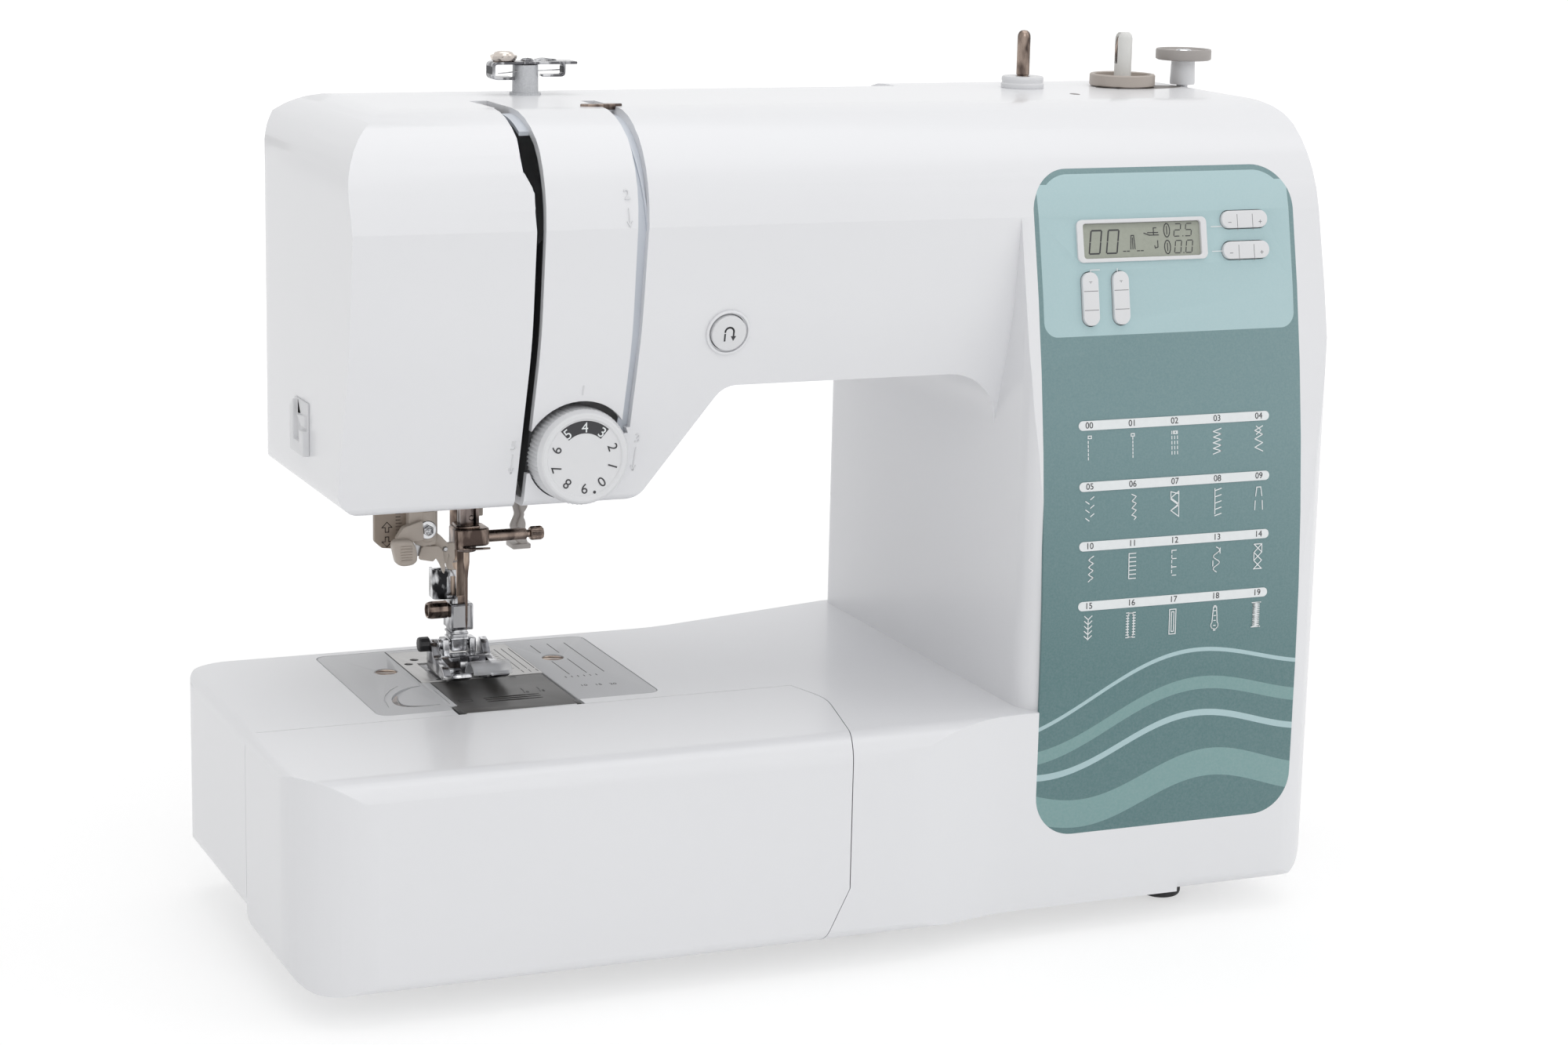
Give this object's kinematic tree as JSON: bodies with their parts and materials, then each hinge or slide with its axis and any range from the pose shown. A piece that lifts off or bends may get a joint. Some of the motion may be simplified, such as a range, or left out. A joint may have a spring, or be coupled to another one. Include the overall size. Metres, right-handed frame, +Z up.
{
  "type": "sewing machine",
  "caption": "Computer-controlled household sewing machine with free arm, slide-off accessory box, top-loading rotary hook, handwheel, thread tension dial and stitch panel with display.",
  "frame": {"origin": "on the table, under the middle of the machine's outer box", "axes": "+X from the needle to the handwheel, +Y to the back, +Z up"},
  "size_m": [0.41, 0.178, 0.294],
  "materials": {
    "white_shell": "smooth satin gloss, very slightly cool white",
    "beige_plastic": "satin warm beige-grey",
    "black_plastic": "satin black",
    "black_rubber": "matt black rubber",
    "smoked_clear": "smoked see-through plastic, polished",
    "clear_plastic": "clear plastic, slightly blue",
    "plain_steel": "brushed steel",
    "bright_plated": "bright plated steel",
    "bronze_plated": "dark bronze-toned plating",
    "bronze_bush": "plain sintered bronze",
    "cast_alloy": "cast, matt",
    "motor_can": "satin black paint",
    "teal_panel": "satin printed panel in two teals",
    "display_face": "grey-green display behind a clear window",
    "board_green": "green circuit board"
  },
  "bodies": {
    "machine": {"front_cover": "white_shell", "rear_cover": "white_shell", "base_tray": "white_shell", "feet": "black_rubber", "screws": "plain_steel", "plate_cover": "white_shell", "needle_plate": "plain_steel", "bobbin_case": "black_plastic", "main_frame": "cast_alloy", "shaft_bushes": "bronze_bush", "timing_belt": "black_rubber", "motor": "motor_can", "motor_belt": "black_rubber", "tension_unit": "plain_steel", "guide_post": "beige_plastic", "thread_guide": "bright_plated", "spool_base": "white_shell", "control_panel": "teal_panel", "lcd_bezel": "white_shell", "lcd": "display_face", "thread_cutter": "white_shell", "control_board": "board_green", "socket_block": "black_plastic"},
    "box": {"accessory_box": "white_shell"},
    "handle": {"carry_handle": "white_shell"},
    "lid": {"bobbin_cover": "smoked_clear"},
    "hook": {"hook_race": "plain_steel"},
    "bobbin": {"bobbin": "clear_plastic"},
    "feed": {"feed_dogs": "plain_steel"},
    "feed_switch": {"feed_lever": "black_plastic"},
    "drive": {"handwheel": "white_shell", "upper_shaft": "plain_steel", "upper_pulley": "black_plastic"},
    "lower_drive": {"lower_shaft": "plain_steel", "lower_pulley": "black_plastic"},
    "rotor": {"motor_pulley": "plain_steel"},
    "needle_slide": {"needle_bar": "plain_steel", "needle_clamp": "bronze_plated", "needle": "bright_plated"},
    "clamp_screw": {"clamp_screw": "bronze_plated"},
    "take_up": {"take_up_lever": "bright_plated"},
    "presser": {"presser_bar": "plain_steel", "foot_holder": "bright_plated"},
    "foot_screw": {"foot_screw": "bronze_plated"},
    "foot": {"presser_foot": "bright_plated"},
    "lifter": {"presser_lifter": "beige_plastic"},
    "threader": {"threader_lever": "beige_plastic"},
    "threader_hook": {"needle_threader": "beige_plastic"},
    "buttonhole": {"buttonhole_lever": "beige_plastic"},
    "dial": {"tension_dial": "white_shell"},
    "spool": {"spool_pin": "bronze_plated"},
    "winder": {"winder_seat": "beige_plastic"},
    "winder_spindle": {"winder_shaft": "white_shell"},
    "stopper": {"winder_stopper": "beige_plastic"},
    "tens": {"tens_key": "white_shell"},
    "units": {"units_key": "white_shell"},
    "length": {"length_key": "white_shell"},
    "width": {"width_key": "white_shell"},
    "reverse": {"reverse_button": "white_shell"},
    "switch": {"power_switch": "black_plastic"}
  },
  "joints": [
    {"name": "box_slide", "type": "slide", "parent": "machine", "child": "box", "axis": [-1, 0, 0], "range_m": [0, 0.2]},
    {"name": "handle_swing", "type": "hinge", "parent": "machine", "child": "handle", "pos_m": [0.021, 0.061, 0.252], "axis": [1, 0, 0], "range_deg": [0, 115]},
    {"name": "lid_tip", "type": "hinge", "parent": "machine", "child": "lid", "pos_m": [-0.1125, 0.0179, 0.0772], "axis": [-1, 0, 0], "range_deg": [0, 10]},
    {"name": "handwheel_turn", "type": "hinge", "parent": "machine", "child": "drive", "pos_m": [0.118, 0.028, 0.206], "axis": [1, 0, 0], "continuous": true},
    {"name": "lower_turn", "type": "hinge", "parent": "machine", "child": "lower_drive", "pos_m": [0.1, 0.028, 0.038], "axis": [1, 0, 0], "continuous": true},
    {"name": "motor_turn", "type": "hinge", "parent": "machine", "child": "rotor", "pos_m": [0.118, -0.02, 0.044], "axis": [1, 0, 0], "continuous": true},
    {"name": "hook_turn", "type": "hinge", "parent": "machine", "child": "hook", "pos_m": [-0.116, 0.0045, 0.06], "axis": [0, 0, 1], "continuous": true},
    {"name": "bobbin_spin", "type": "hinge", "parent": "machine", "child": "bobbin", "pos_m": [-0.116, 0.0045, 0.066], "axis": [0, 0, 1], "continuous": true},
    {"name": "feed_slide", "type": "slide", "parent": "machine", "child": "feed", "axis": [0, 1, 0], "range_m": [-0.0012, 0.0012]},
    {"name": "feed_switch_slide", "type": "slide", "parent": "machine", "child": "feed_switch", "axis": [1, 0, 0], "range_m": [0, 0.01]},
    {"name": "needle_travel", "type": "slide", "parent": "machine", "child": "needle_slide", "axis": [0, 0, 1], "range_m": [-0.03, 0]},
    {"name": "clamp_screw_turn", "type": "hinge", "parent": "needle_slide", "child": "clamp_screw", "pos_m": [-0.1, 0.023, 0.126], "axis": [1, 0, 0], "range_deg": [0, 180]},
    {"name": "take_up_swing", "type": "hinge", "parent": "machine", "child": "take_up", "pos_m": [-0.1222, 0.043, 0.222], "axis": [1, 0, 0], "range_deg": [0, 50]},
    {"name": "presser_lift", "type": "slide", "parent": "machine", "child": "presser", "axis": [0, 0, 1], "range_m": [0, 0.006]},
    {"name": "foot_screw_turn", "type": "hinge", "parent": "presser", "child": "foot_screw", "pos_m": [-0.124, 0.034, 0.099], "axis": [1, 0, 0], "range_deg": [0, 180]},
    {"name": "foot_tip", "type": "hinge", "parent": "presser", "child": "foot", "pos_m": [-0.117, 0.0335, 0.087], "axis": [-1, 0, 0], "range_deg": [0, 8]},
    {"name": "lifter_turn", "type": "hinge", "parent": "machine", "child": "lifter", "pos_m": [-0.106, 0.058, 0.16], "axis": [0, -1, 0], "range_deg": [0, 46]},
    {"name": "threader_pull", "type": "slide", "parent": "machine", "child": "threader", "axis": [0, 0, 1], "range_m": [-0.022, 0]},
    {"name": "threader_hook_turn", "type": "hinge", "parent": "threader", "child": "threader_hook", "pos_m": [-0.1336, 0.016, 0.12], "axis": [0, 0, 1], "range_deg": [0, 50]},
    {"name": "buttonhole_pull", "type": "slide", "parent": "machine", "child": "buttonhole", "axis": [0, 0, 1], "range_m": [-0.028, 0]},
    {"name": "dial_turn", "type": "hinge", "parent": "machine", "child": "dial", "pos_m": [-0.1038, -0.05, 0.1675], "axis": [0, 1, 0], "range_deg": [-131, 164]},
    {"name": "spool_pin_push", "type": "slide", "parent": "machine", "child": "spool", "axis": [0, 0, 1], "range_m": [-0.012, 0]},
    {"name": "winder_shift", "type": "slide", "parent": "machine", "child": "winder", "axis": [1, 0, 0], "range_m": [0, 0.003]},
    {"name": "winder_spin", "type": "hinge", "parent": "winder", "child": "winder_spindle", "pos_m": [0.1256, 0.023, 0.28], "axis": [0, 0, 1], "continuous": true},
    {"name": "stopper_turn", "type": "hinge", "parent": "machine", "child": "stopper", "pos_m": [0.15, 0.023, 0.285], "axis": [0, 0, 1], "range_deg": [-90, 90]},
    {"name": "length_rock", "type": "hinge", "parent": "machine", "child": "length", "pos_m": [0.1255, -0.06109, 0.23655], "axis": [0, 0.2196, 0.9756], "range_deg": [-3, 3], "stiffness_Nm_per_rad": 0.5},
    {"name": "width_rock", "type": "hinge", "parent": "machine", "child": "width", "pos_m": [0.1255, -0.06325, 0.2266], "axis": [0, 0.2049, 0.9788], "range_deg": [-3, 3], "stiffness_Nm_per_rad": 0.5},
    {"name": "tens_rock", "type": "hinge", "parent": "machine", "child": "tens", "pos_m": [0.0662, -0.06601, 0.21267], "axis": [1, 0, 0], "range_deg": [-3, 3], "stiffness_Nm_per_rad": 0.5},
    {"name": "units_rock", "type": "hinge", "parent": "machine", "child": "units", "pos_m": [0.0775, -0.06601, 0.21267], "axis": [1, 0, 0], "range_deg": [-3, 3], "stiffness_Nm_per_rad": 0.5},
    {"name": "reverse_press", "type": "slide", "parent": "machine", "child": "reverse", "axis": [0, 0.981, 0.194], "range_m": [0, 0.002], "stiffness_N_per_m": 500},
    {"name": "switch_rock", "type": "hinge", "parent": "machine", "child": "switch", "pos_m": [0.1535, -0.012, 0.058], "axis": [0, 1, 0], "range_deg": [-6, 6]}
  ],
  "couplings": [
    {"joint": "lower_turn", "follows": "handwheel_turn", "ratio": 1},
    {"joint": "motor_turn", "follows": "handwheel_turn", "ratio": 4},
    {"joint": "hook_turn", "follows": "handwheel_turn", "ratio": 2},
    {"joint": "lifter_turn", "follows": "presser_lift", "rad_per_m": 130.9}
  ]
}
